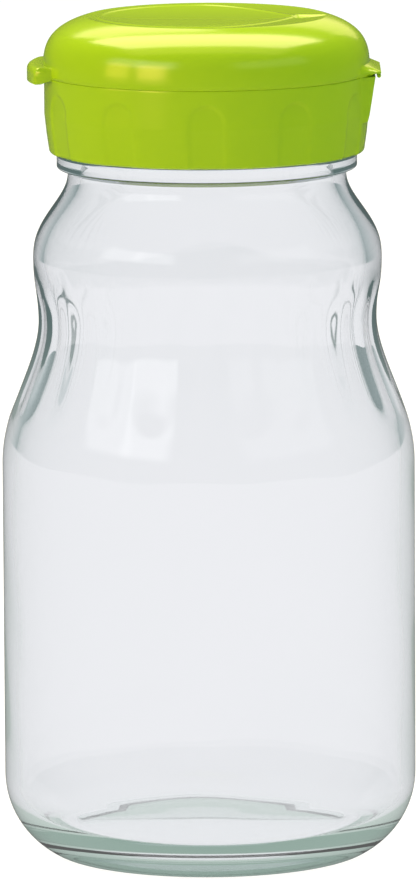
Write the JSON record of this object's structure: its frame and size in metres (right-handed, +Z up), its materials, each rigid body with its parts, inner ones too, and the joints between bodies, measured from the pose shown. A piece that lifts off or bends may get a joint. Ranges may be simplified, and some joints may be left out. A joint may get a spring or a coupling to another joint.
{
  "type": "bottle",
  "caption": "Wide-mouth clear glass syrup bottle with a fluted waist and a lime green screw cap whose domed lid flips open over a pour spout",
  "frame": {"origin": "centre of the circle that the base rests on", "axes": "+Z is up along the bottle's axis, +X points to the lid's hinge, -X to its thumb tab, -Y to the front"},
  "size_m": [0.0984, 0.0984, 0.2009],
  "materials": {
    "clear_glass": "clear soda-lime glass, fire-polished, with a faint cool green tint in thick edges",
    "soft_seal": "off-white translucent soft sealing ring",
    "lime_plastic": "bright lime green polypropylene with a soft moulded gloss"
  },
  "bodies": {
    "bottle": {"glass_bottle": "clear_glass"},
    "seal": {"sealing_ring": "soft_seal"},
    "collar": {"screw_collar": "lime_plastic", "hinge_web": "lime_plastic"},
    "lid": {"flip_lid": "lime_plastic"}
  },
  "joints": [
    {"name": "thread_lift", "type": "slide", "parent": "bottle", "child": "seal", "axis": [0, 0, 1], "range_m": [0, 0.0075]},
    {"name": "cap_turn", "type": "hinge", "parent": "seal", "child": "collar", "pos_m": [0, 0, 0.184], "axis": [0, 0, 1], "range_deg": [0, 450]},
    {"name": "lid_flip", "type": "hinge", "parent": "collar", "child": "lid", "pos_m": [0.0408, 0, 0.18735], "axis": [0, 1, 0], "range_deg": [0, 180]}
  ],
  "couplings": [
    {"joint": "thread_lift", "follows": "cap_turn", "m_per_rad": 0.00095493}
  ]
}
